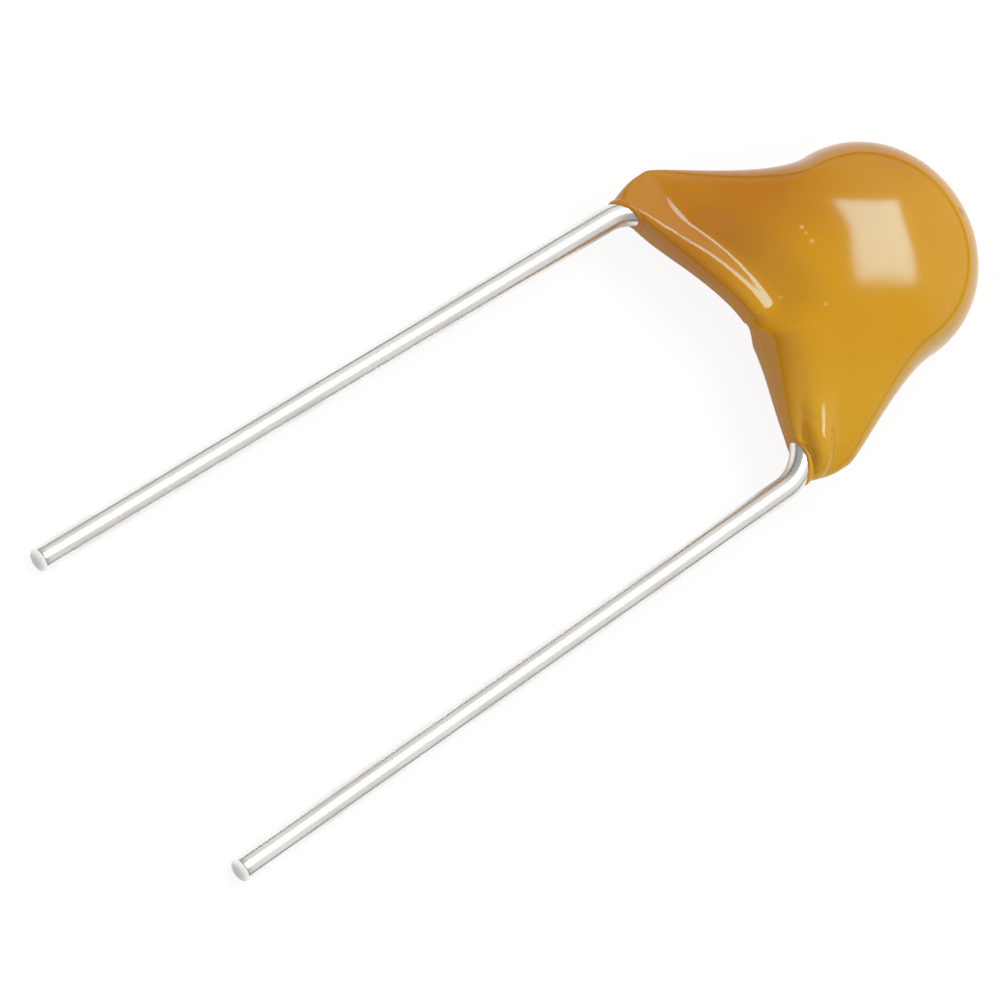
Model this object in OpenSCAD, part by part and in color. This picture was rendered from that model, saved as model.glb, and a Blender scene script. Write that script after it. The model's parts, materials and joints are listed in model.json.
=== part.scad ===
// Radial multilayer ceramic capacitor: a ceramic chip with two soldered wires, dipped in resin.
// It lies as it comes to rest, on the belly of its head and on its two lead tips.
// X runs across the leads, +Y points from the lead tips to the head, and +Z is up.

/* [Leads] */
// Diameter of the tinned wire
wire_d = 0.4; // [0.34:0.01:0.46]
// Distance between the leads where they leave their bends
pitch = 5.08; // [4.8:0.02:5.6]
// Straight length of each lead, from its bend to its cut end
lead_len = 12.2; // [6:0.1:25]
// Angle by which each lead spreads outwards
splay = 1.6; // [0:0.1:4]
// Angle through which the wire turns out into the leg, and back again
leg_turn = 70; // [66:1:72]
// Bend radius at the end of the leg, to the middle of the wire
leg_bend_r = 0.95; // [0.8:0.05:1.1]
// Bend radius inside the body, to the middle of the wire
inner_bend_r = 0.4; // [0.3:0.05:0.5]
// Straight wire below the chip, before the inner bend
neck_run = 1.68; // [1.6:0.02:1.76]
// How much thicker the wire is where it was bent
bend_swell = 0.01; // [0.008:0.001:0.02]

/* [Chip] */
// Length of the chip over its end caps
chip_l = 2; // [1.6:0.05:2.2]
// Height of the chip, along the leads
chip_h = 1.25; // [0.8:0.05:1.6]
// Thickness of the chip
chip_t = 1; // [0.6:0.05:1.3]
// Length of the end cap along the chip
cap_wrap = 0.4; // [0.25:0.05:0.6]
// Thickness of the end cap
cap_t = 0.05; // [0.03:0.01:0.08]
// Plates that reach each end of the chip
plate_pairs = 4; // [2:1:5]
// Thickness of a plate
plate_t = 0.03; // [0.02:0.005:0.04]
// Bare ceramic beside the plates
plate_margin = 0.15; // [0.1:0.01:0.2]
// Bare ceramic between a plate's free end and the far cap
plate_end_gap = 0.3; // [0.2:0.05:0.4]
// Bare ceramic above and below the stack of plates
stack_cover = 0.12; // [0.08:0.01:0.16]

/* [Solder] */
// Solder between the cap and the wire
solder_gap = 0.05; // [0.02:0.01:0.1]
// Width of the solder on the cap
solder_w = 0.8; // [0.6:0.02:0.88]
// Length of the solder along the wire
solder_len = 1.05; // [0.6:0.05:1.2]
// Thickness of the solder that is left beside the wire
solder_lip = 0.03; // [0.02:0.01:0.06]

/* [Head] */
// Resin outside the wires, at the sides of the head
coat_side = 0.41; // [0.35:0.01:0.7]
// Resin over the front and back of the chip
coat_face = 0.67; // [0.5:0.01:1]
// How far the head hangs to one side of the leads
head_shift = 0.18; // [0:0.01:0.25]
// Width of the rounding around the head
head_round = 0.8; // [0.6:0.05:1]
// How far to that side the head is thickest
dome_x = 0.27; // [0:0.01:0.4]
// How far above the middle of the chip the head is thickest
dome_y = 0.14; // [0:0.01:0.3]
// Slope at which the body thins away from the head
dome_slope = 21.8; // [18:0.1:24]
// How widely the top of the dome is rounded
dome_tip = 1.6; // [1.3:0.05:2]

/* [Arch] */
// How far the crown of the arch lies below the inner bends' start
arch_drop = 0.23; // [0.2:0.01:0.3]
// How gently the crown of the arch is rounded
arch_round = 0.6; // [0.4:0.05:0.7]
// Slope of the arch where it reaches the leg end
arch_slope = 14; // [12:1:20]
// How far that slope carries back towards the crown
arch_reach = 0.47; // [0.3:0.01:0.55]
// Half width of the rim along the left of the arch
rim_w = 0.3; // [0.28:0.01:0.36]
// Half thickness of that rim
rim_t = 0.31; // [0.3:0.01:0.4]
// Half width of the bead over the right wire
bead_w = 0.4; // [0.36:0.01:0.44]
// Half thickness of that bead
bead_t = 0.48; // [0.42:0.01:0.54]
// How far that bead lies in from the arch
bead_inset = 0.3; // [0.24:0.01:0.34]
// Width over which the body rises behind the rim
rise_w = 1.1; // [0.9:0.05:1.2]
// Width of the rounding along the right of the arch
arch_edge_w = 0.55; // [0.4:0.05:0.6]

/* [Legs] */
// How far the side of the head carries down before it flares
flare_pull = 0.88; // [0.8:0.02:1.2]
// Slope of the left leg's web, from the rim down to the fin
flank_slope = 14; // [10:1:16]
// Least half thickness of a leg's web
web_t = 0.05; // [0.04:0.01:0.1]
// Width of the rounding along a leg's outer edge
fin_round = 0.4; // [0.3:0.02:0.5]
// How far the fin of a leg stands out beyond the end of the coat
fin_out = 0.12; // [0.05:0.01:0.3]
// Height of the fin's widest point above the end of the coat
fin_rise = 0.75; // [0.65:0.01:0.85]
// How far the fin's edge carries up from its widest point
fin_pull = 0.28; // [0.2:0.02:0.5]
// How far the fin's edge carries down from its widest point
fin_drop = 0.43; // [0.3:0.01:0.5]
// Height above the end of the coat at which the fin turns in to the wire
fin_end = 0.37; // [0.3:0.01:0.45]
// Resin around the wire at the end of the coat
coat_lip = 0.05; // [0.04:0.01:0.08]
// Turn left in the left wire where its coat ends
left_coat_end = 29; // [25:1:33]
// Turn left in the right wire where its coat ends
right_coat_end = 46; // [42:1:48]
// How far the left end runs out further along the outside of its bend
left_lean = 0.2; // [0.1:0.02:0.26]
// How far the right end runs out further along the outside of its bend
right_lean = 0.3; // [0.2:0.02:0.34]

/* [Hidden] */
$fn = 64;

wire_r = wire_d / 2;
bend_lap = sqrt(inner_bend_r * bend_swell / 2);
left_side = -1;
right_side = 1;

// Wire path in the flat part's own plane, on the right: down the cap, out into the leg, and back
inner_x = chip_l / 2 + solder_gap + wire_r;
neck_y = -chip_h / 2 - neck_run;
inner_bend_c = [inner_x + inner_bend_r, neck_y];
leg_start = inner_bend_c - inner_bend_r * [cos(leg_turn), sin(leg_turn)];
leg_end_x = pitch / 2 - leg_bend_r * (cos(splay) - cos(leg_turn));
leg_run = (leg_end_x - leg_start[0]) / sin(leg_turn);
leg_end = leg_start + leg_run * [sin(leg_turn), -cos(leg_turn)];
leg_bend_c = leg_end - leg_bend_r * [cos(leg_turn), sin(leg_turn)];
lead_start = leg_bend_c + leg_bend_r * [cos(splay), sin(splay)];
lead_tip = lead_start + lead_len * [sin(splay), -cos(splay)];

// Ceramic inside the caps, and the plates inside the ceramic
block_size = [chip_l - 2 * cap_t, chip_h - 2 * cap_t, chip_t - 2 * cap_t];
plate_size = [block_size[0] - plate_end_gap, block_size[1] - 2 * plate_margin, plate_t];
plate_count = 2 * plate_pairs;
plate_step = (block_size[2] - 2 * stack_cover - plate_t) / (plate_count - 1);

// Head and arch of the coat
head_r = chip_l / 2 + solder_gap + wire_d + coat_side;
head_half_t = chip_t / 2 + coat_face;
dome_fall = tan(dome_slope);
flank_fall = tan(flank_slope);
arch_y = neck_y - arch_drop;
end_half_t = wire_r + coat_lip;

// Shares of the half outline, from the top of the head to the end of the leg
head_share = 0.42;
fin_share = 0.78;
end_share = 0.82;
left_taper_share = 0.8;
right_taper_share = 0.88;
settle_share = 0.35;
web_from = 0.35;
web_over = 0.3;
flank_from = 0.5;
flank_over = 0.25;
fill_from = 0.55;
fill_over = 0.5;
head_turn = 90;
rim_pace = 1.5;
rim_blend = 5;
coat_steps = 48;
ring_points = 48;

// Resting place: belly of the head and both tips on the floor, box centred on the origin
tip_reach = dome_y - lead_tip[1];
tip_drop = head_half_t - wire_r + dome_fall * dome_tip;
reach_sq = pow(tip_reach, 2) + pow(dome_tip, 2);
rest_root = sqrt(pow(dome_fall, 2) * reach_sq - pow(tip_drop, 2));
rest_tilt = atan((tip_drop * tip_reach - dome_tip * rest_root) / reach_sq);
rest_lift = wire_r * cos(rest_tilt) - lead_tip[1] * sin(rest_tilt);
front_y = (lead_tip[1] - wire_r * sin(splay)) * cos(rest_tilt) - wire_r * sin(rest_tilt);
back_y = head_r * cos(rest_tilt);

function mix(a, b, share) = a + (b - a) * share;
function clamped(x) = min(1, max(0, x));
function smooth(x) = pow(clamped(x), 2) * (3 - 2 * clamped(x));
function quarter_round(x) = sqrt(1 - pow(1 - clamped(x), 2));
function bezier(a, b, c, d, t) =
    pow(1 - t, 3) * a + 3 * t * pow(1 - t, 2) * b + 3 * t * t * (1 - t) * c + pow(t, 3) * d;

// Point of the ring around the wire at the end of the coat, which leans along the bend
function coat_end_turn(side) = side == left_side ? left_coat_end : right_coat_end;
function coat_lean(side) = side == left_side ? left_lean : right_lean;
function coat_end(side, turn) =
    let (back_turn = coat_end_turn(side) + coat_lean(side) * cos(turn) / leg_bend_r * 180 / PI)
    let (bend_turn = min(back_turn, leg_turn))
    let (outward = [cos(bend_turn), sin(bend_turn), 0])
    let (past_bend = (back_turn - bend_turn) * PI / 180 * leg_bend_r)
    let (mid = [leg_bend_c[0], leg_bend_c[1], 0] + leg_bend_r * outward
        + past_bend * [-sin(leg_turn), cos(leg_turn), 0])
    mid - end_half_t * cos(turn) * outward + [0, 0, end_half_t * sin(turn)];
function flat(p) = [p[0], p[1]];
function coat_end_inner(side) = flat(coat_end(side, 0));
function coat_end_outer(side) = flat(coat_end(side, 180));

// Outer edge of one half of the coat: head, flare and fin
function head_edge(side, turn) = [side * head_shift + head_r * sin(turn), head_r * cos(turn)];
function fin_peak(side) = coat_end_outer(side) + [fin_out, fin_rise];
function flare_edge(side, t) =
    let (top = head_edge(side, head_turn))
    let (peak = fin_peak(side))
    bezier(top, top - [0, flare_pull], peak + [0, fin_pull], peak, t);
function fin_edge(side, t) =
    let (peak = fin_peak(side))
    let (end = coat_end_outer(side))
    bezier(peak, peak - [0, fin_drop], end + [fin_out, fin_end], end, t);
function outer_edge(side, u) =
    u < head_share ? head_edge(side, head_turn * u / head_share)
    : u < fin_share ? flare_edge(side, (u - head_share) / (fin_share - head_share))
    : fin_edge(side, (u - fin_share) / (1 - fin_share));

// Inner edge of one half of the coat, from the crown of the arch to the end of the leg
function inner_edge(side, u) =
    let (crown = [0, arch_y])
    let (end = coat_end_inner(side))
    let (back = arch_reach * [-cos(arch_slope), sin(arch_slope)])
    bezier(crown, crown + [arch_round, 0], end + back, end, pow(u, rim_pace));

// Half thickness of the coat at a point p of one half, at a distance d in from the arch
function taper(side, u) =
    let (from = side == left_side ? left_taper_share : right_taper_share)
    pow(max(0, (u - from) / (1 - from)), 2);
function settle(side, u) = side == left_side ? 0 : smooth(u / settle_share);
function fill(side, u) = side == left_side ? smooth((u - fill_from) / fill_over) : settle(side, u);
function outer_round(u, d, span) =
    let (wide = mix(head_round, fin_round, smooth((u - web_from) / web_over)))
    quarter_round((span - d) / min(wide, span / 2));
function body_half(side, u, p, d, span) =
    let (away = norm(p - [side * dome_x, dome_y]))
    let (tall = max(web_t, head_half_t - dome_fall * (norm([away, dome_tip]) - dome_tip)))
    let (slow = smooth(d / rise_w))
    let (quick = quarter_round(d / min(arch_edge_w, span / 2)))
    tall * mix(slow, quick, fill(side, u)) * outer_round(u, d, span);
function rim_half(side, u, d, span) =
    let (narrow = taper(side, u))
    let (bead = settle(side, u))
    let (inset = bead_inset * bead * (1 - narrow))
    let (wide = min(mix(mix(rim_w, bead_w, bead), end_half_t, narrow), (span - inset) / 2))
    let (high = mix(mix(rim_t, bead_t, bead), end_half_t, narrow))
    let (past = d - inset - wide)
    let (round = high * sqrt(max(0, 1 - pow(past / wide, 2))))
    let (flank = (high - flank_fall * past) * outer_round(u, d, span))
    let (flank_share = side == left_side && past > 0 ? smooth((u - flank_from) / flank_over) : 0)
    mix(round, max(round, flank), flank_share);
function coat_half(side, u, p, d, span) =
    let (rim = rim_half(side, u, d, span))
    let (body = body_half(side, u, p, d, span))
    pow(pow(rim, rim_blend) + pow(body, rim_blend), 1 / rim_blend);

// Closed ring around one half of the coat, from the arch over the front and back by the rear
function coat_ring(side, u) =
    let (a = inner_edge(side, u))
    let (b = outer_edge(side, u))
    let (span = norm(b - a))
    let (share = smooth((u - end_share) / (1 - end_share)))
    [for (j = [0:ring_points - 1])
        let (turn = 360 * j / ring_points)
        let (w = (1 - cos(turn)) / 2)
        let (p = a + w * (b - a))
        let (h = coat_half(side, u, p, w * span, span))
        let (q = mix([p[0], p[1], turn < 180 ? h : -h], coat_end(side, turn), share))
        [side * q[0], q[1], q[2]]];

// Moves a piece from the flat part's own plane to its resting place
module resting() {
    translate([0, -(front_y + back_y) / 2, rest_lift])
        rotate([rest_tilt, 0, 0])
            children();
}

module sided(side) {
    mirror([side == left_side ? 1 : 0, 0, 0])
        children();
}

// Straight wire, which runs on into the bends at the ends that have one
module wire_straight(from, heading, length, lap_before, lap_after) {
    translate([from[0], from[1], 0])
        rotate([90, 0, heading])
            translate([0, 0, -lap_before])
                cylinder(d = wire_d, h = lap_before + length + lap_after);
}

module wire_bend(centre, radius, from_turn, turn) {
    translate([centre[0], centre[1], 0])
        rotate([0, 0, from_turn])
            rotate_extrude(angle = turn)
                translate([radius, 0])
                    circle(d = wire_d + bend_swell);
}

module wire() {
    wire_straight([inner_x, chip_h / 2], 0, chip_h / 2 - neck_y, 0, bend_lap);
    wire_bend(inner_bend_c, inner_bend_r, 180, leg_turn);
    wire_straight(leg_start, leg_turn, leg_run, bend_lap, bend_lap);
    wire_bend(leg_bend_c, leg_bend_r, splay, leg_turn - splay);
    wire_straight(lead_start, splay, lead_len, bend_lap, 0);
}

module cap_outside() {
    translate([chip_l / 2 - cap_wrap, -chip_h / 2, -chip_t / 2])
        cube([cap_wrap, chip_h, chip_t]);
}

module block_outside() {
    cube(block_size, center = true);
}

module solder_outside() {
    rotate([90, 0, 0])
        linear_extrude(height = solder_len, center = true)
            polygon([
                [chip_l / 2, -solder_w / 2],
                [inner_x, -wire_r - solder_lip],
                [inner_x, wire_r + solder_lip],
                [chip_l / 2, solder_w / 2]
            ]);
}

module plates(side) {
    for (i = [0:plate_pairs - 1])
        let (level = 2 * i + (side == left_side ? 0 : 1))
        translate([side * plate_end_gap / 2, 0, (level - (plate_count - 1) / 2) * plate_step])
            cube(plate_size, center = true);
}

module coat_outside() {
    rings = concat(
        [for (i = [coat_steps:-1:1]) coat_ring(left_side, i / coat_steps)],
        [for (i = [0:coat_steps]) coat_ring(right_side, i / coat_steps)]
    );
    last = len(rings) - 1;
    end_mids = [for (side = [left_side, right_side])
        let (mid = (coat_end_inner(side) + coat_end_outer(side)) / 2)
        [side * mid[0], mid[1], 0]];
    points = concat([for (r = rings) each r], end_mids);
    left_index = (last + 1) * ring_points;
    walls = [for (k = [0:last - 1]) for (j = [0:ring_points - 1])
        let (a = k * ring_points + j)
        let (b = k * ring_points + (j + 1) % ring_points)
        each [[a, b, b + ring_points], [a, b + ring_points, a + ring_points]]];
    ends = [for (j = [0:ring_points - 1])
        let (after = (j + 1) % ring_points)
        each [[after, j, left_index],
            [last * ring_points + j, last * ring_points + after, left_index + 1]]];
    polyhedron(points, concat(walls, ends));
}

module epoxy_coat() {
    color([0.8, 0.57, 0.12])
        resting()
            difference() {
                coat_outside();
                block_outside();
                for (side = [left_side, right_side])
                    sided(side) {
                        cap_outside();
                        solder_outside();
                        wire();
                    }
            }
}

module lead(side) {
    color([0.82, 0.82, 0.8])
        resting()
            sided(side)
                wire();
}

module ceramic_block() {
    color([0.62, 0.52, 0.42])
        resting()
            difference() {
                block_outside();
                plates(left_side);
                plates(right_side);
            }
}

module electrodes(side) {
    color([0.7, 0.68, 0.62])
        resting()
            plates(side);
}

module termination(side) {
    color([0.75, 0.75, 0.75])
        resting()
            sided(side)
                difference() {
                    cap_outside();
                    block_outside();
                }
}

module solder(side) {
    color([0.66, 0.67, 0.69])
        resting()
            sided(side)
                difference() {
                    solder_outside();
                    wire();
                }
}

epoxy_coat();
lead(left_side);  // left_lead
lead(right_side);  // right_lead
ceramic_block();
electrodes(left_side);  // left_electrodes
electrodes(right_side);  // right_electrodes
termination(left_side);  // left_termination
termination(right_side);  // right_termination
solder(left_side);  // left_solder
solder(right_side);  // right_solder
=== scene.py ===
"""Radial ceramic capacitor: the dipped resin body, the tinned leads, the chip inside and a white stage."""
import json
import math

import bpy
import numpy as np
from bpy.props import FloatProperty, FloatVectorProperty, PointerProperty
from mathutils import Matrix, Vector, noise


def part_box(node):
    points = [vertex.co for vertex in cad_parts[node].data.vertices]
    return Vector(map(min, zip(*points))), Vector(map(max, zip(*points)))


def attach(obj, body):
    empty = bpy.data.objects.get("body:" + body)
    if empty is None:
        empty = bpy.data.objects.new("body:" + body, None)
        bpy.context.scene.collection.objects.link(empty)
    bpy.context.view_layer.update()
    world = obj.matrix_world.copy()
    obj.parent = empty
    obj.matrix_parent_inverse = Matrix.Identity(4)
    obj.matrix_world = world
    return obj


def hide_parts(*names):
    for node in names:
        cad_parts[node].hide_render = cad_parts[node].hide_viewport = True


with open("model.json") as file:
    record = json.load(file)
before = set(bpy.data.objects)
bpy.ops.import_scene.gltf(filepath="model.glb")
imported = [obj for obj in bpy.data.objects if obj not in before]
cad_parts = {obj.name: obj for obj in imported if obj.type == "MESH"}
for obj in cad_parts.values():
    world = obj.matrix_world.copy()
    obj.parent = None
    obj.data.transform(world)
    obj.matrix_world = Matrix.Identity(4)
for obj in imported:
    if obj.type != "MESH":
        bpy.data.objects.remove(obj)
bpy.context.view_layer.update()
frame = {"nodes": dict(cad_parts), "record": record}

bl_info = {
    "name": "Radial ceramic capacitor",
    "version": (1, 0, 0),
    "blender": (4, 5, 0),
    "location": "View3D > Sidebar > Capacitor",
    "description": "Models a dipped radial multilayer ceramic capacitor around its construction",
    "category": "Add Mesh",
}

MM = 0.001
LEFT, RIGHT = -1, 1
SIDE_NAMES = {LEFT: "left", RIGHT: "right"}
PINS = {mount["name"]: mount for mount in frame["record"]["mounts"]}
RIGHT_PIN = PINS["right_lead_pin"]
PIN_AXIS = Vector(RIGHT_PIN["axis"]).normalized()
PIN_SPLAY = math.degrees(math.asin(PIN_AXIS.x))
PIN_TILT = math.degrees(math.atan(PIN_AXIS.z / PIN_AXIS.y))


def length(name, description, millimetres):
    return FloatProperty(
        name=name, description=description, default=millimetres * MM, unit="LENGTH", precision=5)


def angle(name, description, degrees):
    return FloatProperty(
        name=name, description=description, default=math.radians(degrees), subtype="ANGLE")


def factor(name, description, value):
    return FloatProperty(
        name=name, description=description, default=value, min=0, max=1, subtype="FACTOR")


def number(name, description, value):
    return FloatProperty(name=name, description=description, default=value)


def colour(name, description, red, green, blue):
    return FloatVectorProperty(
        name=name, description=description, default=(red, green, blue),
        min=0, max=1, size=3, subtype="COLOR")


class CAPACITOR_PG_wire(bpy.types.PropertyGroup):
    """Sizes and finish of the two tinned wires."""
    diameter: length("Diameter", "Diameter of the wire", 2 * RIGHT_PIN["dims"]["r_mm"])
    lead_length: length(
        "Lead length", "Straight wire from the bend to the cut end", RIGHT_PIN["dims"]["length_mm"])
    splay: angle("Splay", "How far each lead spreads outwards", PIN_SPLAY)
    tilt: angle("Tilt", "How far the leads slope down to the floor", PIN_TILT)
    pitch: length("Pitch", "Distance between the leads where they leave their bends", 5.08)
    inner_x: length("Inner place", "Distance of the soldered wire from the middle of the chip", 1.25)
    top_y: length("Wire end", "Height of the soldered end above the middle of the chip", 0.625)
    neck_y: length("Neck", "Where the wire starts to turn out, from the middle of the chip", -2.305)
    inner_bend: length("Inner bend", "Bend radius inside the body", 0.4)
    leg_bend: length("Leg bend", "Bend radius at the end of the leg", 0.95)
    leg_turn: angle("Leg turn", "Angle of the wire in the leg", 70)
    unevenness: length("Unevenness", "How much the tin swells and thins along the wire", 0.004)
    cut_bevel: length("Cut bevel", "Rounding that the cutter leaves around the tip", 0.022)
    tin: colour("Tin", "Colour of the bright tin", 0.94, 0.93, 0.9)
    dull_tin: colour("Dull tin", "Colour of the oxidised patches", 0.86, 0.84, 0.8)


class CAPACITOR_PG_coat(bpy.types.PropertyGroup):
    """Sizes and finish of the dipped resin body."""
    head_radius: length("Head radius", "Radius of the round head", 1.86)
    head_thickness: length("Head thickness", "Thickness of the head", 2.34)
    head_shift: length("Head shift", "How far the head hangs to the right of the leads", 0.18)
    head_round: length("Head rounding", "Width of the rounding around the head", 0.8)
    dome_x: length("Dome X", "How far right the head is thickest", 0.27)
    dome_y: length("Dome Y", "How far above the middle of the chip the head is thickest", 0.14)
    dome_slope: angle("Dome slope", "Slope at which the body thins away from the head", 21.8)
    dome_tip: length("Dome tip", "How widely the top of the dome is rounded", 1.6)
    arch_y: length("Arch", "Height of the arch's crown, from the middle of the chip", -2.535)
    arch_round: length("Arch rounding", "How gently the crown of the arch is rounded", 0.6)
    arch_slope: angle("Arch slope", "Slope of the arch where it reaches the leg's end", 14)
    arch_reach: length("Arch reach", "How far that slope carries back towards the crown", 0.47)
    rim_width: length("Rim width", "Half width of the rim along the left of the arch", 0.3)
    rim_height: length("Rim height", "Half thickness of that rim", 0.31)
    bead_width: length("Bead width", "Half width of the bead over the right wire", 0.4)
    bead_height: length("Bead height", "Half thickness of that bead", 0.48)
    bead_inset: length("Bead inset", "How far that bead lies in from the arch", 0.3)
    rise_width: length("Rise width", "Width over which the body rises behind the rim", 1.1)
    edge_width: length("Edge width", "Width of the rounding along the right of the arch", 0.55)
    web_height: length("Web height", "Least half thickness of a leg's web", 0.05)
    flank_slope: angle("Flank slope", "Slope of the left leg's web, from the rim down to the fin", 14)
    fin_round: length("Fin rounding", "Width of the rounding along a leg's outer edge", 0.4)
    fin_out: length("Fin", "How far the fin of a leg stands out beyond its end", 0.12)
    fin_rise: length("Fin rise", "Height of the fin's widest point above the leg's end", 0.75)
    fin_pull: length("Fin pull", "How far the fin's edge carries up", 0.28)
    fin_drop: length("Fin drop", "How far the fin's edge carries down", 0.43)
    fin_end: length("Fin end", "Height above the leg's end where the fin turns in to the wire", 0.37)
    flare_pull: length("Flare pull", "How far the side of the head carries down", 0.88)
    lip: length("Lip", "Resin around the wire where the coat ends", 0.05)
    meniscus: length("Meniscus", "Length over which the resin runs out along the wire", 0.1)
    left_end: angle("Left end", "Turn left in the left wire where its coat ends", 29)
    right_end: angle("Right end", "Turn left in the right wire where its coat ends", 46)
    left_lean: length("Left lean", "How much further the left end runs on the bend's outside", 0.2)
    right_lean: length("Right lean", "How much further the right end runs on the bend's outside", 0.3)
    ripple: length("Ripple", "Height of the gentle unevenness of the dipped skin", 0.004)
    ochre: colour("Ochre", "Main colour of the resin", 0.6, 0.28, 0.003)
    # Painted shade: brown laid on the left of the body
    left_shade: colour("Brown", "Colour where the resin is deep", 0.45, 0.16, 0.004)
    # Painted light: tan laid on the right of the body
    tan: colour("Tan", "Colour where the resin is thin", 0.62, 0.33, 0.014)
    # Painted shade: umber laid on the steep walls of the arch that face the leads
    wall_shade: colour("Umber", "Colour of the steep walls along the arch", 0.38, 0.14, 0.006)
    # Painted highlights: pale spots standing in for the glints of small nibs in the resin
    nib_glint: colour("Fleck", "Colour of the pale flecks in the resin", 0.75, 0.47, 0.12)
    speck: colour("Speck", "Colour of the dark speck on the head", 0.2, 0.1, 0.03)
    gloss_tint: colour("Gloss tint", "Tint of the reflections on the resin", 0.45, 0.92, 1)
    roughness: factor("Roughness", "Roughness of the glossy skin", 0.11)


class CAPACITOR_PG_chip(bpy.types.PropertyGroup):
    """Colours of the pieces inside the resin."""
    ceramic: colour("Ceramic", "Colour of the sintered ceramic", 0.42, 0.31, 0.2)
    dark_ceramic: colour("Dark ceramic", "Colour of the ceramic's darker patches", 0.34, 0.24, 0.15)
    nickel: colour("Nickel", "Colour of the sintered plates", 0.55, 0.51, 0.45)
    dark_nickel: colour("Dark nickel", "Colour of the plates' darker patches", 0.44, 0.41, 0.36)
    plating: colour("Plating", "Colour of the plated end caps", 0.72, 0.71, 0.69)
    dark_plating: colour("Dark plating", "Colour of the caps' darker patches", 0.56, 0.55, 0.53)
    solder: colour("Solder", "Colour of the reflowed solder", 0.62, 0.63, 0.65)
    dark_solder: colour("Dark solder", "Colour of the solder's darker patches", 0.48, 0.49, 0.51)


class CAPACITOR_PG_stage(bpy.types.PropertyGroup):
    """The camera, the lights and the white floor."""
    camera_distance: length("Camera distance", "Distance from the camera to the part", 600)
    view_width: length("View width", "Width of the picture at the part", 15.68)
    elevation: angle("Elevation", "Height of the camera above the floor", 54.56)
    roll: angle("Roll", "Turn of the camera about its own axis", 57)
    aim_x: length("Aim X", "Middle of the picture, across the leads", 0.244)
    aim_y: length("Aim Y", "Middle of the picture, along the leads", -1.1555)
    aim_z: length("Aim Z", "Middle of the picture, above the floor", 0.6702)
    lamp_distance: length("Lamp distance", "Distance from the softbox and the fill to the part", 400)
    softbox_width: length("Softbox width", "Width of the softbox", 152)
    softbox_height: length("Softbox height", "Height of the softbox", 200)
    softbox_back: angle("Softbox back", "Angle behind the part, from straight above", 19.4)
    softbox_left: angle("Softbox left", "Angle to the left of the part, from straight above", 5)
    softbox_turn: angle("Softbox turn", "Turn of the softbox against the upright of the picture", 20)
    softbox_level: number("Softbox level", "Brightness of the softbox", 8.2)
    fill_level: number("Fill level", "Brightness of the fill light on the camera's side", 1.4)
    fill_size: length("Fill size", "Width and height of the fill light", 400)
    fill_front: angle("Fill front", "Angle in front of the part, from straight above", 45)
    front_sky: number("Front sky", "Brightness of the ceiling on the camera's side", 0.38)
    back_sky: number("Back sky", "Brightness of the ceiling behind the part", 0.85)
    floor_tone: factor("Floor tone", "Brightness of the floor's paper", 0.95)
    floor_mirrored: factor("Floor mirrored", "Brightness of that paper in reflections", 0.9)
    floor_white: factor("Floor white", "Share of plain white in the floor; the rest takes shade", 0.9)
    room: colour("Room", "Colour of the dim room around the stage", 0.03, 0.026, 0.02)


# Shared geometry

LEG_BEND, LEAD = 3, 4  # places in the wire's row of straights and bends, counted from the soldered end


def smooth_step(x):
    x = np.clip(x, 0, 1)
    return x * x * (3 - 2 * x)


def between(first, second, share):
    return first + (second - first) * share


def bezier(a, b, c, d, t):
    t = np.asarray(t, float)[:, None]
    return (1 - t) ** 3 * a + 3 * t * (1 - t) ** 2 * b + 3 * t * t * (1 - t) * c + t ** 3 * d


class WirePath:
    """Middle line of the right wire in the flat part's own plane, by distance along the wire."""

    def __init__(self, wire):
        turn, splay = wire.leg_turn, wire.splay
        inner_out = wire.inner_bend * (1 - math.cos(turn))
        leg_out = wire.leg_bend * (math.cos(splay) - math.cos(turn))
        leg_run = (wire.pitch / 2 - wire.inner_x - (inner_out + leg_out)) / math.sin(turn)
        self.leg_turn = turn
        self.leg_bend = wire.leg_bend
        self.lengths = [wire.top_y - wire.neck_y, wire.inner_bend * turn, leg_run,
                        wire.leg_bend * (turn - splay), wire.lead_length]
        self.curves = [0, 1 / wire.inner_bend, 0, -1 / wire.leg_bend, 0]
        self.starts = np.concatenate([[0], np.cumsum(self.lengths)])
        self.total = self.starts[-1]
        self.headings = [0.0]
        self.points = [np.array([wire.inner_x, wire.top_y])]
        for run, curve in zip(self.lengths, self.curves):
            point, heading = self.step(self.points[-1], self.headings[-1], curve, np.array([run]))
            self.points.append(point[0])
            self.headings.append(float(heading[0]))

    @staticmethod
    def step(point, heading, curve, run):
        """Points and headings after a run along one straight or bend."""
        if curve == 0:
            way = np.array([math.sin(heading), -math.cos(heading)])
            return point + run[:, None] * way, np.full(len(run), heading)
        after = heading + curve * run
        move = np.stack([math.cos(heading) - np.cos(after), math.sin(heading) - np.sin(after)], 1)
        return point + move / curve, after

    def at(self, distance):
        """Middle points and outward directions at these distances from the soldered end."""
        distance = np.clip(np.asarray(distance, float), 0, self.total)
        middle = np.zeros((len(distance), 2))
        heading = np.zeros(len(distance))
        piece = np.searchsorted(self.starts, distance, side="right") - 1
        piece = np.clip(piece, 0, len(self.lengths) - 1)
        for i, curve in enumerate(self.curves):
            here = piece == i
            middle[here], heading[here] = self.step(
                self.points[i], self.headings[i], curve, distance[here] - self.starts[i])
        return middle, np.stack([np.cos(heading), np.sin(heading)], 1)

    def at_turn(self, turn):
        """Distance along the wire at which this much of the leg's turn is left."""
        return self.starts[LEG_BEND] + (self.leg_turn - turn) * self.leg_bend


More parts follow.
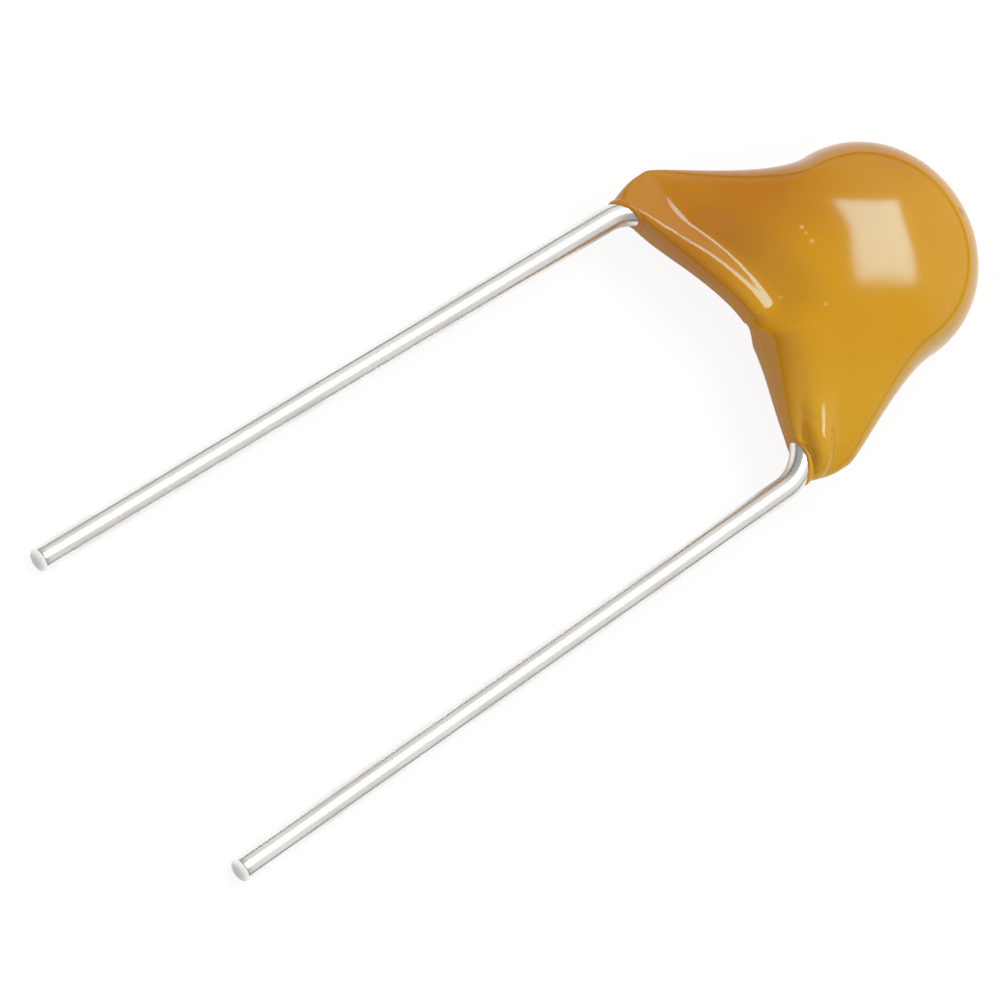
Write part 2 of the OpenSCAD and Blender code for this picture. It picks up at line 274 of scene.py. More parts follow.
def resting(points, wire):
    """Moves points from the flat part's own plane to where the part lies."""
    lead_start = Vector(RIGHT_PIN["pos_m"]) - PIN_AXIS * wire.lead_length / 2
    flat_y = WirePath(wire).points[LEAD][1]
    sine, cosine = math.sin(wire.tilt), math.cos(wire.tilt)
    y, z = points[..., 1], points[..., 2]
    moved = np.array(points, float)
    moved[..., 1] = y * cosine - z * sine + lead_start.y - flat_y * cosine
    moved[..., 2] = y * sine + z * cosine + lead_start.z - flat_y * sine
    return moved


def ring_mesh(name, rings, sharp_angle=None):
    """Closed mesh over a row of rings, with a fan on its first and last ring."""
    count, size = rings.shape[:2]
    first, last = rings[0].mean(0), rings[-1].mean(0)
    points = np.concatenate([rings.reshape(-1, 3), [first, last]])
    faces = []
    for k in range(count - 1):
        for j in range(size):
            near, far = k * size + j, k * size + (j + 1) % size
            faces.append((near, far, far + size, near + size))
    for j in range(size):
        after = (j + 1) % size
        faces.append((after, j, count * size))
        faces.append(((count - 1) * size + j, (count - 1) * size + after, count * size + 1))
    mesh = bpy.data.meshes.new(name)
    mesh.from_pydata(points.tolist(), [], faces)
    mesh.validate()
    mesh.polygons.foreach_set("use_smooth", [True] * len(mesh.polygons))
    if sharp_angle is not None:
        mesh.set_sharp_from_angle(angle=sharp_angle)
    piece = bpy.data.objects.new(name, mesh)
    bpy.context.scene.collection.objects.link(piece)
    return piece


def push_along_normals(piece, height):
    """Moves each point along its normal by height(point)."""
    mesh = piece.data
    normals = [v.normal.copy() for v in mesh.vertices]
    for vertex, normal in zip(mesh.vertices, normals):
        vertex.co += normal * height(vertex.co)
    mesh.update()


# Shared shading

MOTTLE_INPUTS = {"Patch Scale": 500, "Grain Scale": 9000, "Contrast": 0.5}
PATCH_DETAIL, GRAIN_DETAIL = 3, 4
NOISE_RANGE = 0.3, 0.7  # where most of a noise texture's values lie


class Nodes:
    """Short ways to add nodes to one node tree."""

    def __init__(self, tree):
        self.tree = tree

    def node(self, kind, **settings):
        made = self.tree.nodes.new(kind)
        for key, value in settings.items():
            setattr(made, key, value)
        return made

    def feed(self, socket, value):
        """Links another socket to this one, or sets a plain value."""
        if isinstance(value, bpy.types.NodeSocket):
            self.tree.links.new(value, socket)
        else:
            socket.default_value = value

    def split(self, vector):
        made = self.node("ShaderNodeSeparateXYZ")
        self.feed(made.inputs["Vector"], vector)
        return made.outputs

    def cloud(self, vector, scale, detail):
        made = self.node("ShaderNodeTexNoise")
        for label, value in (("Vector", vector), ("Scale", scale), ("Detail", detail)):
            self.feed(made.inputs[label], value)
        return made.outputs["Fac"]

    def ramp(self, value, low, high, to_low=0, to_high=1):
        made = self.node("ShaderNodeMapRange", interpolation_type="SMOOTHSTEP")
        labels = "Value", "From Min", "From Max", "To Min", "To Max"
        for label, given in zip(labels, (value, low, high, to_low, to_high)):
            self.feed(made.inputs[label], given)
        return made.outputs["Result"]

    def compute(self, operation, *values):
        made = self.node("ShaderNodeMath", operation=operation)
        for socket, value in zip(made.inputs, values):
            self.feed(socket, value)
        return made.outputs[0]

    def blend(self, share, first, second):
        made = self.node("ShaderNodeMix", data_type="RGBA")
        self.feed(made.inputs["Factor"], share)
        colours = [s for s in made.inputs if s.type == "RGBA"]
        for socket, value in zip(colours, (first, second)):
            self.feed(socket, value if isinstance(value, bpy.types.NodeSocket) else (*value, 1))
        return next(s for s in made.outputs if s.type == "RGBA")

    def show(self, output, share, first, second):
        """Sends a mix of two shaders to a new output node."""
        mix = self.node("ShaderNodeMixShader")
        self.feed(mix.inputs["Fac"], share)
        self.feed(mix.inputs[1], first.outputs[0])
        self.feed(mix.inputs[2], second.outputs[0])
        self.feed(self.node(output).inputs["Surface"], mix.outputs[0])


def mottle_group():
    """Soft cloudy patches and a fine grain, shared by every finish."""
    found = bpy.data.node_groups.get("mottle")
    if found:
        return found
    group = bpy.data.node_groups.new("mottle", "ShaderNodeTree")
    new_socket = group.interface.new_socket
    new_socket(name="Vector", in_out="INPUT", socket_type="NodeSocketVector")
    for label, value in MOTTLE_INPUTS.items():
        new_socket(name=label, in_out="INPUT", socket_type="NodeSocketFloat").default_value = value
    for label in ("Patches", "Grain"):
        new_socket(name=label, in_out="OUTPUT", socket_type="NodeSocketFloat")
    nodes = Nodes(group)
    entry = nodes.node("NodeGroupInput").outputs
    result = nodes.node("NodeGroupOutput").inputs
    patches = nodes.cloud(entry["Vector"], entry["Patch Scale"], PATCH_DETAIL)
    low = nodes.compute("MULTIPLY_ADD", entry["Contrast"], -0.5, 0.5)
    high = nodes.compute("SUBTRACT", 1, low)
    nodes.feed(result["Patches"], nodes.ramp(patches, *NOISE_RANGE, low, high))
    nodes.feed(result["Grain"], nodes.cloud(entry["Vector"], entry["Grain Scale"], GRAIN_DETAIL))
    return group


class Finish(Nodes):
    """A material with one Principled shader."""

    def __init__(self, name):
        self.material = bpy.data.materials.new(name)
        self.material.use_nodes = True
        super().__init__(self.material.node_tree)
        self.shader = self.tree.nodes["Principled BSDF"]
        self.place = self.node("ShaderNodeTexCoord").outputs["Object"]

    def give(self, label, value):
        """Links or sets one socket of the shader."""
        self.feed(self.shader.inputs[label], value)

    def mottle(self, *values):
        """Patches and grain, at these values of the shared group's inputs."""
        made = self.node("ShaderNodeGroup", node_tree=mottle_group())
        self.feed(made.inputs["Vector"], self.place)
        for label, value in zip(MOTTLE_INPUTS, values):
            self.feed(made.inputs[label], value)
        return made.outputs["Patches"], made.outputs["Grain"]

    def bump(self, height, depth, strength):
        made = self.node("ShaderNodeBump")
        for label, value in (("Height", height), ("Distance", depth), ("Strength", strength)):
            self.feed(made.inputs[label], value)
        self.give("Normal", made.outputs["Normal"])


# Resin

RESIN_MOTTLE = 450, 14000, 0.8
RESIN_IOR = 1.5
RESIN_BUMP = 0.004 * MM, 0.15
ROUGHNESS_SPREAD = 0.8, 1.3
# Across the body, where the painted shade in brown on its left and the painted light in tan on its right
# set in
LEFT_SHADE_FADE, LEFT_SHADE_LEAST = (0.3 * MM, -1.6 * MM), 0.5
RIGHT_LIGHT_FADE = 0.2 * MM, 2.2 * MM
# How far the arch's walls face the leads, and where along the body they get painted shade in umber
SHADE_FACING, SHADE_FADE, SHADE_SHARE = (-0.5, -0.95), (5 * MM, 4.5 * MM), 0.75
# Pale spots of painted highlight standing in for the glints of small nibs, and the dark speck: places and
# radii in millimetres
NIB_GLINTS = ((-0.772, 5.705, 1.953, 0.045), (-0.66, 5.7, 1.97, 0.03), (-0.501, 5.692, 1.991, 0.05),
          (0.452, 5.322, 1.896, 0.04), (-0.027, 5.008, 1.419, 0.035))
SPECKS = ((0.368, 8.35, 2.146, 0.07), (0.43, 8.36, 2.13, 0.05))
SPOT_REACH, SPOT_SHARE = 1.3, 0.8


def spot_mask(finish, spots):
    """Small round spots with soft edges."""
    mask = None
    for *place, radius in spots:
        near = finish.node("ShaderNodeVectorMath", operation="DISTANCE")
        finish.feed(near.inputs[0], finish.place)
        finish.feed(near.inputs[1], Vector(place) * MM)
        spot = finish.ramp(near.outputs["Value"], SPOT_REACH * radius * MM, 0, 0, SPOT_SHARE)
        mask = spot if mask is None else finish.compute("MAXIMUM", mask, spot)
    return mask


def resin_finish(coat):
    """Glossy ochre resin, with painted shade that makes it browner on the left and along the arch's walls,
    painted light that makes it paler on the right, and small painted highlights.
    """
    finish = Finish("ochre_resin")
    finish.give("IOR", RESIN_IOR)
    finish.give("Specular Tint", (*coat.gloss_tint, 1))
    place = finish.split(finish.place)
    patches, grain = finish.mottle(*RESIN_MOTTLE)
    # Painted shade: brown on the left of the body, mottled in patches
    shaded_side = finish.ramp(place["X"], *LEFT_SHADE_FADE)
    left_shade_share = finish.compute("MULTIPLY", shaded_side, finish.ramp(patches, 0, 1, LEFT_SHADE_LEAST, 1))
    tone = finish.blend(left_shade_share, coat.ochre, coat.left_shade)
    # Painted light: tan on the right of the body, in patches
    right_light_share = finish.compute("MULTIPLY", finish.ramp(place["X"], *RIGHT_LIGHT_FADE), patches)
    tone = finish.blend(right_light_share, tone, coat.tan)
    # Painted shade: umber on the walls that face the leads, down along the body
    facing = finish.split(finish.node("ShaderNodeNewGeometry").outputs["Normal"])
    shaded_wall = finish.ramp(facing["Y"], *SHADE_FACING)
    wall_shade_share = finish.compute("MULTIPLY", shaded_wall, finish.ramp(place["Y"], *SHADE_FADE, 0, SHADE_SHARE))
    tone = finish.blend(wall_shade_share, tone, coat.wall_shade)
    # Painted highlights: pale spots standing in for the glints of small nibs
    tone = finish.blend(spot_mask(finish, NIB_GLINTS), tone, coat.nib_glint)
    tone = finish.blend(spot_mask(finish, SPECKS), tone, coat.speck)
    finish.give("Base Color", tone)
    smoothest, roughest = (coat.roughness * share for share in ROUGHNESS_SPREAD)
    finish.give("Roughness", finish.ramp(patches, 0, 1, smoothest, roughest))
    finish.bump(grain, *RESIN_BUMP)
    return finish.material


# Coat

RINGS_PER_HALF = 120
POINTS_PER_FACE = 90
DENSE_POINTS = 480
MENISCUS_RINGS = 7
SUNK_SHARE = 0.15  # how far the resin's run-out ends below the wire's skin, as a share of the lip
# Along each half, from 0 at the middle of the body to 1 at the leg's end
HALF_WAY = np.linspace(0, 1, RINGS_PER_HALF + 1)
HEAD_SHARE, FIN_SHARE, BLEND_SHARE = 0.42, 0.78, 0.82
TAPER_SHARES = {LEFT: 0.8, RIGHT: 0.88}
FILL_FROM, FILL_OVER, SETTLE_SHARE = 0.55, 0.5, 0.35
WEB_FROM, WEB_OVER = 0.35, 0.3
FLANK_FROM, FLANK_OVER = 0.5, 0.25
RIM_PACE, RIM_BLEND = 1.5, 5
# Across one face, as a turn from the arch's edge to the outer edge
FACE_TURN = np.linspace(0, math.pi, DENSE_POINTS)
# Softening of the creases, with the whole body from -1 at the left leg's end to 1 at the right one's
SOFT_POINTS, SOFT_RINGS, SOFT_SHARE = 8, 9, 0.8
SMEAR_REACH = 3
CROWN_FROM, CROWN_TO, CROWN_FADE = -0.12, 0.35, 0.2
LEG_FROM, LEG_FADE = -0.74, 0.08
# Unevenness of the skin
SLOW_RIPPLE, QUICK_RIPPLE = 1.3 * MM, 0.5 * MM
QUICK_SHARE, QUICK_SHIFT = 0.1, Vector((7, 3, 1))


def end_ring(coat, wire, side, lip, run_out):
    """Half ring of resin on the wire, leaning across it, this thick and this much further along."""
    path = WirePath(wire)
    if side == LEFT:
        middle_place, lean = path.at_turn(coat.left_end), coat.left_lean
    else:
        middle_place, lean = path.at_turn(coat.right_end), coat.right_lean
    middle, outward = path.at(middle_place - lean * np.cos(FACE_TURN) + run_out)
    reach = wire.diameter / 2 + lip
    ring = middle - reach * np.cos(FACE_TURN)[:, None] * outward
    return np.column_stack([ring, reach * np.sin(FACE_TURN)])


def outer_edge(coat, side, end, u):
    """Head, flare and fin, from the top of the head to the leg's end."""
    turn = math.pi / 2 * np.minimum(u, HEAD_SHARE) / HEAD_SHARE
    shift = side * coat.head_shift
    head = np.stack([shift + coat.head_radius * np.sin(turn), coat.head_radius * np.cos(turn)], 1)
    top = np.array([shift + coat.head_radius, 0])
    peak = end + [coat.fin_out, coat.fin_rise]
    flare_t = np.clip((u - HEAD_SHARE) / (FIN_SHARE - HEAD_SHARE), 0, 1)
    flare = bezier(top, top - [0, coat.flare_pull], peak + [0, coat.fin_pull], peak, flare_t)
    fin_t = np.clip((u - FIN_SHARE) / (1 - FIN_SHARE), 0, 1)
    fin = bezier(peak, peak - [0, coat.fin_drop], end + [coat.fin_out, coat.fin_end], end, fin_t)
    return np.where((u < HEAD_SHARE)[:, None], head, np.where((u < FIN_SHARE)[:, None], flare, fin))


def inner_edge(coat, end, u):
    """Arch, from its crown to the leg's end."""
    crown = np.array([0, coat.arch_y])
    back = coat.arch_reach * np.array([-math.cos(coat.arch_slope), math.sin(coat.arch_slope)])
    return bezier(crown, crown + [coat.arch_round, 0], end + back, end, u ** RIM_PACE)


def round_edge(t):
    """Quarter round that climbs from 0 to 1."""
    return np.sqrt(1 - (1 - np.clip(t, 0, 1)) ** 2)


def outer_round(coat, u, depth, span):
    """Rounding along the outer edge of the head and the fins."""
    web = smooth_step((u - WEB_FROM) / WEB_OVER)
    wide = np.minimum(between(coat.head_round, coat.fin_round, web), span / 2)
    return round_edge((span - depth) / wide)


def bead_share(side, u):
    """How far the rim has settled into the bead over the right wire."""
    return smooth_step(u / SETTLE_SHARE) * (side == RIGHT)


def rim_half_thickness(coat, end_half, side, u, depth, span):
    """Rim along the arch: it slopes down to the left fin, and settles into a bead over the right wire."""
    taper_share = TAPER_SHARES[side]
    taper = np.maximum(0, (u - taper_share) / (1 - taper_share)) ** 2
    settle = bead_share(side, u)
    inset = coat.bead_inset * settle * (1 - taper)
    wide = between(between(coat.rim_width, coat.bead_width, settle), end_half, taper)
    wide = np.minimum(wide, (span - inset) / 2)
    high = between(between(coat.rim_height, coat.bead_height, settle), end_half, taper)
    past = depth - inset - wide
    rim = high * np.sqrt(np.maximum(0, 1 - (past / wide) ** 2))
    flank = (high - math.tan(coat.flank_slope) * past) * outer_round(coat, u, depth, span)
    flank_share = smooth_step((u - FLANK_FROM) / FLANK_OVER) * (past > 0) * (side == LEFT)
    return between(rim, np.maximum(rim, flank), flank_share)


def body_half_thickness(coat, side, u, place, depth, span):
    """Rounded cone that rises behind the rim and is rounded off along its outer edge."""
    away = np.linalg.norm(place - [side * coat.dome_x, coat.dome_y], axis=-1)
    drop = math.tan(coat.dome_slope) * (np.hypot(away, coat.dome_tip) - coat.dome_tip)
    tall = np.maximum(coat.head_thickness / 2 - drop, coat.web_height)
    slow = smooth_step(depth / coat.rise_width)
    quick = round_edge(depth / np.minimum(coat.edge_width, span / 2))
    fill = smooth_step((u - FILL_FROM) / FILL_OVER) if side == LEFT else bead_share(side, u)
    return tall * between(slow, quick, fill) * outer_round(coat, u, depth, span)


def half_surface(coat, wire, side):
    """Places and half thicknesses over one half, from the middle of the body to the leg's end."""
    last = end_ring(coat, wire, side, coat.lip, 0)
    inner = inner_edge(coat, last[0, :2], HALF_WAY)
    outer = outer_edge(coat, side, last[-1, :2], HALF_WAY)
    span = np.linalg.norm(outer - inner, axis=1)[:, None]
    across = ((1 - np.cos(FACE_TURN)) / 2)[None, :]
    place = inner[:, None, :] + across[..., None] * (outer - inner)[:, None, :]
    u, depth = HALF_WAY[:, None], across * span
    rim = rim_half_thickness(coat, wire.diameter / 2 + coat.lip, side, u, depth, span)
    body = body_half_thickness(coat, side, u, place, depth, span)
    return place, (rim ** RIM_BLEND + body ** RIM_BLEND) ** (1 / RIM_BLEND)


def smeared(field, reach):
    """The field's rows, each blended with the rows around it, without the border rows."""
    count = SMEAR_REACH * reach
    rows = len(field) - 2 * count
    weights = np.exp(-0.5 * (np.arange(-count, count + 1) / reach) ** 2)
    return sum(weight * field[i:i + rows] for i, weight in enumerate(weights)) / weights.sum()


def softened(half):
    """Half thicknesses of the whole body with soft creases; its edges and leg ends stay as they were."""
    edge, end = SMEAR_REACH * SOFT_POINTS, SMEAR_REACH * SOFT_RINGS
    turned = half.T
    bordered = np.concatenate([-turned[edge:0:-1], turned, -turned[-2:-edge - 2:-1]])
    across = smeared(bordered, SOFT_POINTS).T
    along = smeared(np.pad(across, ((end, end), (0, 0)), mode="edge"), SOFT_RINGS)
    u = np.linspace(-1, 1, len(half))[:, None]
    crown = smooth_step((u - CROWN_FROM) / CROWN_FADE) * smooth_step((CROWN_TO - u) / CROWN_FADE)
    leg = smooth_step((LEG_FROM - u) / LEG_FADE)
    eased = between(across, along, np.maximum(crown, leg))
    return between(eased, half, smooth_step((abs(u) - SOFT_SHARE) / (1 - SOFT_SHARE)))


def even_points(row, count):
    """The same line with this many evenly spaced points."""
    steps = np.linalg.norm(np.diff(row, axis=0), axis=1)
    along = np.concatenate([[0], np.cumsum(steps)])
    wanted = np.linspace(0, along[-1], count)
    return np.stack([np.interp(wanted, along, row[:, i]) for i in range(3)], 1)


def coat_rings(coat, wire, side, place, half):
    """Rings around one half, from the middle of the body out along the leg and onto the wire."""
    last = end_ring(coat, wire, side, coat.lip, 0)
    share = smooth_step((HALF_WAY - BLEND_SHARE) / (1 - BLEND_SHARE))[:, None, None]
    rows = list(between(np.concatenate([place, half[..., None]], 2), last[None], share))
    sunk = SUNK_SHARE * coat.lip
    for k in range(1, MENISCUS_RINGS + 1):
        fall = math.pi / 2 * k / MENISCUS_RINGS
        lip = (coat.lip + sunk) * math.cos(fall) - sunk
        rows.append(end_ring(coat, wire, side, lip, coat.meniscus * math.sin(fall)))
    rings = []
    for row in rows:
        front = even_points(row, POINTS_PER_FACE + 1)
        back = front[-2:0:-1] * [1, 1, -1]
        rings.append(np.concatenate([front, back]) * [side, 1, 1])
    return np.array(rings)


def skin_ripple(coat):
    """Height of the dipped skin's gentle unevenness at a point."""
    def height(point):
        slow = noise.noise(point / SLOW_RIPPLE)
        quick = noise.noise(point / QUICK_RIPPLE + QUICK_SHIFT)
        return coat.ripple * (slow + QUICK_SHARE * quick)
    return height


class CAPACITOR_OT_dip_coat(bpy.types.Operator):
    """Models the dipped resin body over its solid"""
    bl_idname = "capacitor.dip_coat"
    bl_label = "Dip the coat"

    def execute(self, context):
        coat, wire = context.scene.capacitor_coat, context.scene.capacitor_wire
        left_place, left_half = half_surface(coat, wire, LEFT)
        right_place, right_half = half_surface(coat, wire, RIGHT)
        half = softened(np.concatenate([left_half[::-1], right_half[1:]]))
        left = coat_rings(coat, wire, LEFT, left_place, half[RINGS_PER_HALF::-1])
        right = coat_rings(coat, wire, RIGHT, right_place, half[RINGS_PER_HALF:])
        rings = np.concatenate([right[::-1], left[1:]])
        piece = ring_mesh("resin_body", resting(rings, wire))
        push_along_normals(piece, skin_ripple(coat))
        piece.data.materials.append(resin_finish(coat))
        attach(piece, "root")
        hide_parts("epoxy_coat")
        return {"FINISHED"}


# Leads

WIRE_SIDES = 48
STRAIGHT_STEP, BEND_STEP = 0.12 * MM, 0.03 * MM
BEVEL_RINGS = 5
SHARP_ANGLE = math.radians(50)
SWELL_LENGTH = 0.9 * MM
TIN_MOTTLE = 900, 20000, 0.9
TIN_ROUGHNESS = 0.22, 0.3
TIN_BUMP = 0.003 * MM, 0.2


def tin_finish(wire):
    """Bright drawn and tinned wire, with duller patches."""
    finish = Finish("bright_tin")
    finish.give("Metallic", 1)
    patches, grain = finish.mottle(*TIN_MOTTLE)
    finish.give("Base Color", finish.blend(patches, wire.tin, wire.dull_tin))
    finish.give("Roughness", finish.ramp(patches, 0, 1, *TIN_ROUGHNESS))
    finish.bump(grain, *TIN_BUMP)
    return finish.material


def lead_rings(wire, side):
    """Rings along one wire, from its soldered end to its cut tip."""
    path = WirePath(wire)
    stops = [np.array([0.0])]
    for start, run, curve in zip(path.starts, path.lengths, path.curves):
        count = max(2, round(run / (BEND_STEP if curve else STRAIGHT_STEP)))
        stops.append(start + run * np.arange(1, count + 1) / count)
    distance = np.concatenate(stops)
    bevel_turn = np.linspace(0, math.pi / 2, BEVEL_RINGS)
    tip = path.total - wire.cut_bevel
    bevel = tip + wire.cut_bevel * np.sin(bevel_turn)
    distance = np.concatenate([distance[distance < tip - BEND_STEP], bevel])
    radius = np.full(len(distance), wire.diameter / 2)
    radius[-BEVEL_RINGS:] -= wire.cut_bevel * (1 - np.cos(bevel_turn))
    middle, outward = path.at(distance)
    turn = np.linspace(0, 2 * math.pi, WIRE_SIDES, endpoint=False)
    reach = radius[:, None] * np.cos(turn)
    flat = middle[:, None, :] + reach[..., None] * outward[:, None, :]
    rings = np.concatenate([flat, (radius[:, None] * np.sin(turn))[..., None]], 2)
    return rings * [side, 1, 1]


class CAPACITOR_OT_form_leads(bpy.types.Operator):
    """Models both tinned wires, from the chip to their cut tips"""
    bl_idname = "capacitor.form_leads"
    bl_label = "Form the leads"

    def execute(self, context):
        wire = context.scene.capacitor_wire
        tin = tin_finish(wire)
        for side in (LEFT, RIGHT):
            name = SIDE_NAMES[side]
            rings = resting(lead_rings(wire, side), wire)
            piece = ring_mesh(f"{name}_tinned_wire", rings[::side], SHARP_ANGLE)
            push_along_normals(piece, lambda p: wire.unevenness * noise.noise(p / SWELL_LENGTH))
            piece.data.materials.append(tin)
            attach(piece, "root")
            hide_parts(f"{name}_lead")
        return {"FINISHED"}


# Chip

INNER_GRAIN, INNER_CONTRAST = 25000, 1
INNER_SPREAD = 0.8, 1.2
INNER_BUMP = 0.4
# Patches per metre, roughness, metal share and depth of the grain
CERAMIC_LOOK = 1500, 0.7, 0, 0.004 * MM
PLATE_LOOK = 2500, 0.4, 1, 0.002 * MM
CAP_LOOK = 1800, 0.35, 1, 0.003 * MM
SOLDER_LOOK = 1200, 0.3, 1, 0.003 * MM


def inner_finish(name, light, dark, patch_scale, roughness, metallic, depth):
    """Finish of a piece inside the resin: two tones, a grain and an uneven gloss."""
    finish = Finish(name)
    finish.give("Metallic", metallic)
    patches, grain = finish.mottle(patch_scale, INNER_GRAIN, INNER_CONTRAST)
    finish.give("Base Color", finish.blend(patches, light, dark))
    smoothest, roughest = (roughness * share for share in INNER_SPREAD)
    finish.give("Roughness", finish.ramp(grain, *NOISE_RANGE, smoothest, roughest))
    finish.bump(grain, depth, INNER_BUMP)
    return finish.material


class CAPACITOR_OT_finish_chip(bpy.types.Operator):
    """Gives the chip, its plates, its end caps and the solder their finishes"""
    bl_idname = "capacitor.finish_chip"
    bl_label = "Finish the chip"

    def execute(self, context):
        chip = context.scene.capacitor_chip
        ceramic = inner_finish("sintered_ceramic", chip.ceramic, chip.dark_ceramic, *CERAMIC_LOOK)
        nickel = inner_finish("sintered_plates", chip.nickel, chip.dark_nickel, *PLATE_LOOK)
        plating = inner_finish("plated_caps", chip.plating, chip.dark_plating, *CAP_LOOK)
        solder = inner_finish("reflowed_solder", chip.solder, chip.dark_solder, *SOLDER_LOOK)
        finishes = {"ceramic_block": ceramic}
        for name in SIDE_NAMES.values():
            finishes[f"{name}_electrodes"] = nickel
            finishes[f"{name}_termination"] = plating
            finishes[f"{name}_solder"] = solder
        for node, material in finishes.items():
            for socket in frame["nodes"][node].material_slots:
                socket.material = material
        return {"FINISHED"}


# Stage

HORIZON_FADE = math.sin(math.radians(6)), math.sin(math.radians(17))
SKY_FADE = 0.25, 0.55
NEAR_CLIP, FAR_CLIP = 0.1, 10  # in camera distances


def floor_material(stage):
    """White floor that keeps a soft shadow, and is a little darker in reflections."""
    material = bpy.data.materials.new("white_floor")
    material.use_nodes = True
    nodes = Nodes(material.node_tree)
    nodes.tree.nodes.clear()
    rays = nodes.node("ShaderNodeLightPath").outputs
    paper = nodes.node("ShaderNodeBsdfDiffuse")
    tone = nodes.ramp(rays["Is Glossy Ray"], 0, 1, stage.floor_tone, stage.floor_mirrored)
    nodes.feed(paper.inputs["Color"], tone)
    white = nodes.node("ShaderNodeEmission")
    share = nodes.compute("MULTIPLY", rays["Is Camera Ray"], stage.floor_white)
    nodes.show("ShaderNodeOutputMaterial", share, paper, white)
    return material


def light_room(stage):
    """Ceiling that is brighter behind the part and fades into a dim room; the camera sees plain white."""
    world = bpy.data.worlds.new("white_studio")
    bpy.context.scene.world = world
    world.use_nodes = True
    nodes = Nodes(world.node_tree)
    nodes.tree.nodes.clear()
    way = nodes.split(nodes.node("ShaderNodeTexCoord").outputs["Generated"])
    front, back = [stage.front_sky] * 3, [stage.back_sky] * 3
    ceiling = nodes.blend(nodes.ramp(way["Y"], *SKY_FADE), front, back)
    room = nodes.node("ShaderNodeBackground")
    tone = nodes.blend(nodes.ramp(way["Z"], *HORIZON_FADE), stage.room, ceiling)
    nodes.feed(room.inputs["Color"], tone)
    white = nodes.node("ShaderNodeBackground")
    nodes.feed(white.inputs["Color"], (1, 1, 1, 1))
    seen = nodes.node("ShaderNodeLightPath").outputs["Is Camera Ray"]
    nodes.show("ShaderNodeOutputWorld", seen, room, white)


def camera_axes(stage, roll):
    """Right, up and backward directions of the camera, with this roll."""
    back = Vector((0, -math.cos(stage.elevation), math.sin(stage.elevation)))
    level_up = Vector((0, math.sin(stage.elevation), math.cos(stage.elevation)))
    level_right = Vector((1, 0, 0))
    sine, cosine = math.sin(roll), math.cos(roll)
    return level_right * cosine + level_up * sine, level_up * cosine - level_right * sine, back


def place_camera(stage):
    """Long lens at the picture's viewing angle."""
    camera = bpy.data.cameras.new("camera")
    camera.sensor_width = 36
    camera.lens = camera.sensor_width * stage.camera_distance / stage.view_width
    camera.clip_start = NEAR_CLIP * stage.camera_distance
    camera.clip_end = FAR_CLIP * stage.camera_distance
    holder = bpy.data.objects.new("camera", camera)
    right, up, back = camera_axes(stage, stage.roll)
    aim = Vector((stage.aim_x, stage.aim_y, stage.aim_z))
    turn = Matrix((right, up, back)).transposed().to_4x4()
    holder.matrix_world = Matrix.Translation(aim + back * stage.camera_distance) @ turn
    bpy.context.scene.collection.objects.link(holder)
    bpy.context.scene.camera = holder


def hang_lamp(name, width, height, level, place, turn):
    """Flat lamp of this size and brightness."""
    lamp = bpy.data.lights.new(name, "AREA")
    lamp.shape = "RECTANGLE"
    lamp.size, lamp.size_y = width, height
    lamp.energy = level * math.pi * width * height
    holder = bpy.data.objects.new(name, lamp)
    holder.matrix_world = Matrix.Translation(place) @ turn
    bpy.context.scene.collection.objects.link(holder)
    return holder


def place_softbox(stage):
    """Softbox above and a little behind the part."""
    away = Vector((-math.tan(stage.softbox_left), math.tan(stage.softbox_back), 1)).normalized()
    right = camera_axes(stage, stage.roll + stage.softbox_turn)[0]
    side = (right - away * right.dot(away)).normalized()
    turn = Matrix((side, away.cross(side), away)).transposed().to_4x4()
    centre = Vector(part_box("epoxy_coat")[0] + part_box("epoxy_coat")[1]) / 2
    hang_lamp("softbox", stage.softbox_width, stage.softbox_height, stage.softbox_level,
              centre + away * stage.lamp_distance, turn)


def place_fill(stage):
    """Broad fill light on the camera's side, which the gloss doesn't show."""
    away = Vector((0, -math.sin(stage.fill_front), math.cos(stage.fill_front)))
    turn = away.to_track_quat("Z", "Y").to_matrix().to_4x4()
    fill = hang_lamp("fill", stage.fill_size, stage.fill_size, stage.fill_level,
                     away * stage.lamp_distance, turn)
    fill.visible_glossy = False


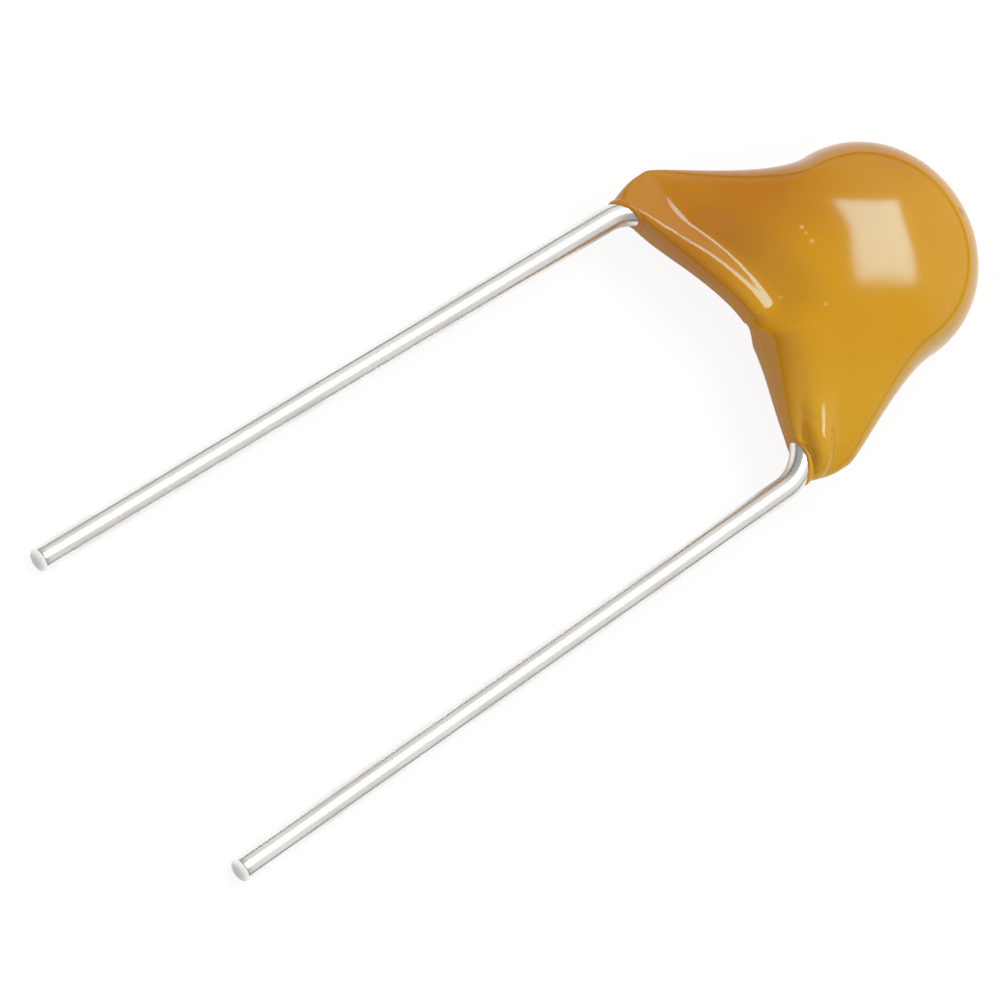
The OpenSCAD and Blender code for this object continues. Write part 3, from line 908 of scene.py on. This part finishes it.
class CAPACITOR_OT_set_stage(bpy.types.Operator):
    """Sets the camera, the lights, the room and the white floor"""
    bl_idname = "capacitor.set_stage"
    bl_label = "Set the stage"

    def execute(self, context):
        stage = context.scene.capacitor_stage
        context.scene.view_settings.view_transform = "Standard"
        reach = stage.camera_distance
        corners = [(-reach, -reach, 0), (reach, -reach, 0), (reach, reach, 0), (-reach, reach, 0)]
        mesh = bpy.data.meshes.new("floor")
        mesh.from_pydata(corners, [], [(0, 1, 2, 3)])
        mesh.materials.append(floor_material(stage))
        floor = bpy.data.objects.new("floor", mesh)
        context.scene.collection.objects.link(floor)
        light_room(stage)
        place_softbox(stage)
        place_fill(stage)
        place_camera(stage)
        return {"FINISHED"}


# Add-on

OPERATORS = (
    CAPACITOR_OT_set_stage,
    CAPACITOR_OT_form_leads,
    CAPACITOR_OT_dip_coat,
    CAPACITOR_OT_finish_chip,
)
GROUPS = {
    "capacitor_wire": CAPACITOR_PG_wire,
    "capacitor_coat": CAPACITOR_PG_coat,
    "capacitor_chip": CAPACITOR_PG_chip,
    "capacitor_stage": CAPACITOR_PG_stage,
}


class CAPACITOR_PT_sidebar(bpy.types.Panel):
    """Sizes, colours and building steps of the capacitor"""
    bl_idname = "CAPACITOR_PT_sidebar"
    bl_label = "Capacitor"
    bl_space_type = "VIEW_3D"
    bl_region_type = "UI"
    bl_category = "Capacitor"

    def draw(self, context):
        for operator in OPERATORS:
            self.layout.operator(operator.bl_idname)
        for name, group in GROUPS.items():
            box = self.layout.box()
            for key in group.__annotations__:
                box.prop(getattr(context.scene, name), key)


def register():
    for item in (*GROUPS.values(), *OPERATORS, CAPACITOR_PT_sidebar):
        bpy.utils.register_class(item)
    for name, group in GROUPS.items():
        setattr(bpy.types.Scene, name, PointerProperty(type=group))


def unregister():
    for name in GROUPS:
        delattr(bpy.types.Scene, name)
    for item in (CAPACITOR_PT_sidebar, *reversed(OPERATORS), *GROUPS.values()):
        bpy.utils.unregister_class(item)


def main():
    register()
    bpy.ops.capacitor.set_stage()
    bpy.ops.capacitor.form_leads()
    bpy.ops.capacitor.dip_coat()
    bpy.ops.capacitor.finish_chip()


if __name__ == "__main__":
    main()
